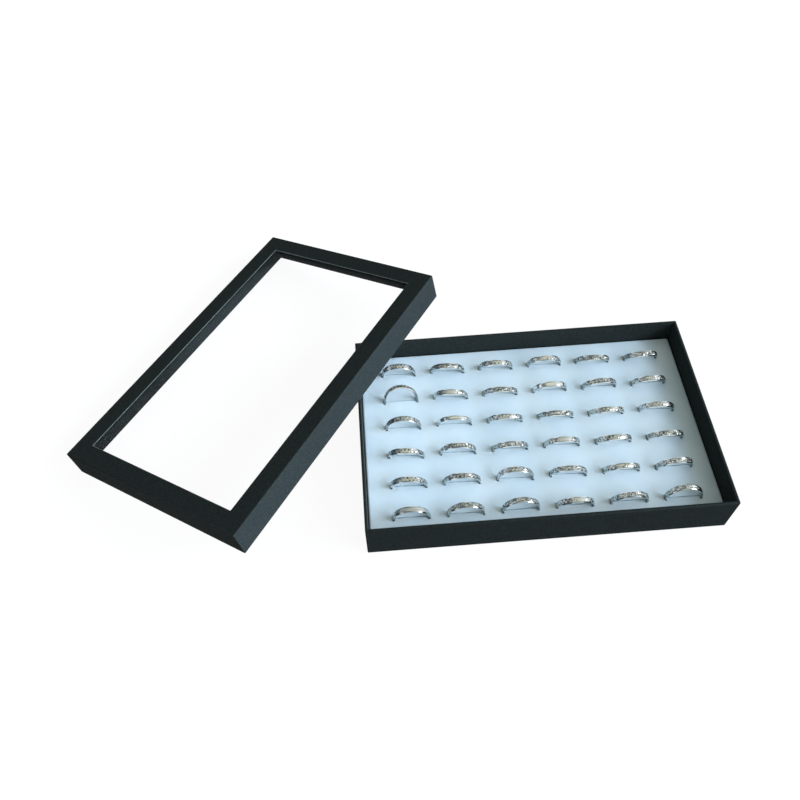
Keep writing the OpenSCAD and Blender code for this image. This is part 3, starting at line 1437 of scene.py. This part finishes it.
@dataclass(frozen=True)
class Studio:
    """A white floor under a pale sky, with two soft lamps at the right.

    The sky is bright at the right, as beside a window, and dim at the left, which gives
    polished metal its dark and light. Its brightest patch is the window that the metal
    mirrors in place of the lamps. Its white horizon is there for the eye alone.

    Attributes:
        window: the main lamp, cool as daylight.
        sill: the lamp for what comes in low, along the table.
        pane: how bright the window is in a mirror.
        horizon: the sky's colour low down, as seen.
        bright_side: its colour halfway up, at the right.
        dim_side: its colour halfway up, at the left.
        zenith: its colour overhead.
        floor_colour: the floor's own colour.
        floor_glow: how much of the floor's white is its own, as seen.
        floor_light: how strong that white is.
        floor_reach: how far the floor goes from the middle.
    """

    window: Lamp = Lamp(
        "window_light", heading=24, height=32, width=20, power=2.9, colour="#d9e9ff",
        panes=3, spread=26,
    )
    sill: Lamp = Lamp("sill_light", heading=3, height=4, width=8, power=8.4, colour="#dfecff")
    pane: float = 7.0
    horizon: str = "#ffffff"
    bright_side: str = "#ffffff"
    dim_side: str = "#7a7f82"
    zenith: str = "#e6e2cc"
    floor_colour: str = "#a8a8a8"
    floor_glow: float = 0.8
    floor_light: float = 1.16
    floor_reach: float = 6000.0

    def build(self) -> None:
        """Makes the lamps, the sky and the floor."""
        bpy.context.scene.view_settings.view_transform = "Standard"
        self.window.build()
        self.sill.build()
        self.sky()
        self.floor()

    def seen(self, tree: NodeTree) -> NodeSocket:
        """Tells what is looked at, in a mirror and through glass as well, from what lights.

        Args:
            tree: the material's or world's node tree.

        Returns:
            An output that is 1 for what is looked at.
        """
        rays = add_node(tree, "LightPath").outputs
        found = rays["Is Camera Ray"]
        for ray in ("Is Glossy Ray", "Is Transmission Ray"):
            found = add_node(tree, "Math", {0: found, 1: rays[ray]}, operation="MAXIMUM").outputs[0]
        return found

    def sky(self) -> None:
        """Lights the scene from all round, by side and by height."""
        world = bpy.data.worlds.new("sky")
        world.use_nodes = True
        bpy.context.scene.world = world
        tree = world.node_tree
        where = add_node(tree, "TexCoord").outputs["Generated"]
        parts = add_node(tree, "SeparateXYZ", {"Vector": where}).outputs
        colour: object = linear(self.dim_side)
        for part, start, end, other, share in (
            (parts["X"], -0.2, 0.85, self.bright_side, 1.0),
            (parts["Z"], 0.74, 0.97, self.zenith, 1.0),
            (parts["Z"], 0.62, 0.36, self.horizon, self.seen(tree)),
        ):
            reach: Inputs = {"Value": part, "From Min": start, "From Max": end, "To Max": share}
            amount = add_node(tree, "MapRange", reach, **SMOOTH).outputs["Result"]
            colours: Inputs = {FACTOR: amount, FIRST: colour, SECOND: linear(other)}
            colour = add_node(tree, "Mix", colours, **COLOURS).outputs[MIXED]
        aim: Inputs = {0: where, 1: self.window.towards()}
        facing = add_node(tree, "VectorMath", aim, operation="DOT_PRODUCT").outputs["Value"]
        half = math.radians(self.window.width / 2)
        edge: Inputs = {"From Min": math.cos(1.5 * half), "From Max": math.cos(0.9 * half)}
        pane: Inputs = {"Value": facing, **edge, "To Min": 1.0, "To Max": self.pane}
        patch = add_node(tree, "MapRange", pane, **SMOOTH).outputs["Result"]
        feed(tree.nodes["Background"], {"Color": colour, "Strength": patch})

    def floor(self) -> None:
        """Lays a wide white floor that still takes the object's shadow."""
        bm = bmesh.new()
        bmesh.ops.create_grid(bm, x_segments=1, y_segments=1, size=self.floor_reach)
        material = bpy.data.materials.new("white_paper_floor")
        material.use_nodes = True
        tree = material.node_tree
        tree.nodes.clear()
        dimmed: Inputs = {0: self.seen(tree), 1: self.floor_glow}
        share = add_node(tree, "Math", dimmed, operation="MULTIPLY").outputs[0]
        lit = add_node(tree, "BsdfDiffuse", {"Color": linear(self.floor_colour)}).outputs[0]
        glow = add_node(tree, "Emission", {"Strength": self.floor_light}).outputs[0]
        mixed = add_node(tree, "MixShader", {0: share, 1: lit, 2: glow}).outputs[0]
        add_node(tree, "OutputMaterial", {"Surface": mixed})
        finished_piece("floor", bm, UPRIGHT, material, 180)


def main() -> None:
    """Builds the studio and every piece; the imported nodes that they stand for stay, hidden."""
    logging.basicConfig(level=logging.INFO, format="%(name)s: %(message)s")
    Viewpoint().build()
    Studio().build()
    Tray().build()
    Lid().build()
    rings = [FingerRing(r, c) for r in range(1, ROWS + 1) for c in range(1, COLUMNS + 1)]
    for ring in rings:
        ring.build()
    Pad(rings).build()


if __name__ == "__main__":
    main()
